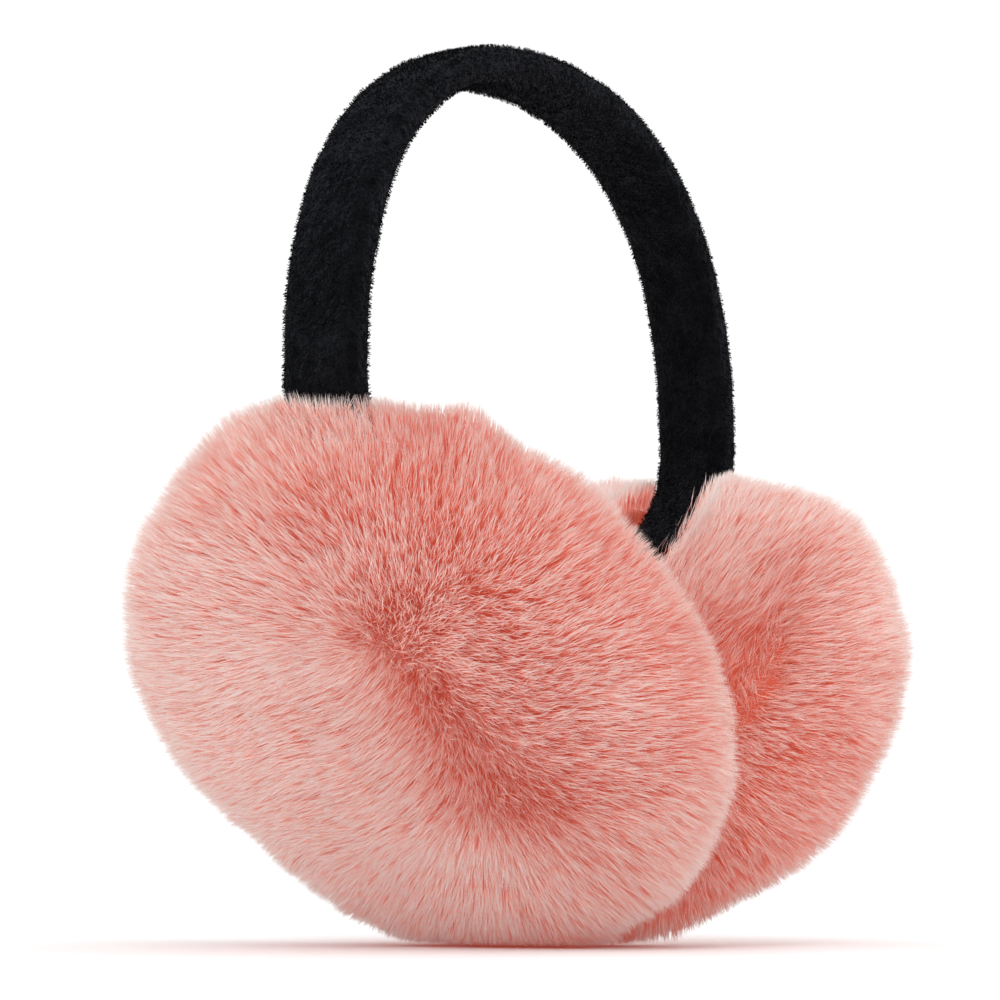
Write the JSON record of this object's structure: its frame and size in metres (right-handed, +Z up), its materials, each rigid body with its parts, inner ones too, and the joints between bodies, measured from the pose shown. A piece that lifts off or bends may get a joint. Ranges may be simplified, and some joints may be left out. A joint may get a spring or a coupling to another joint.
{
  "type": "fur earmuffs",
  "caption": "Earmuffs: a padded black plush headband arched over the head, with a thick round pink fur muff at each end, standing upright on the muffs.",
  "frame": {"origin": "on the surface that the muffs stand on, under the middle of the headband's crown", "axes": "+Z up through the crown, +X towards the wearer's left ear, -Y the way the wearer faces"},
  "size_m": [0.1894, 0.1442, 0.2026],
  "materials": {
    "black_plush": "short black pile, soft and matt",
    "rose_fur": "long dense fur, pale pink tips over salmon roots"
  },
  "bodies": {
    "root": {"headband": "black_plush", "ear_muff_right": "rose_fur", "ear_muff_left": "rose_fur"}
  },
  "joints": []
}
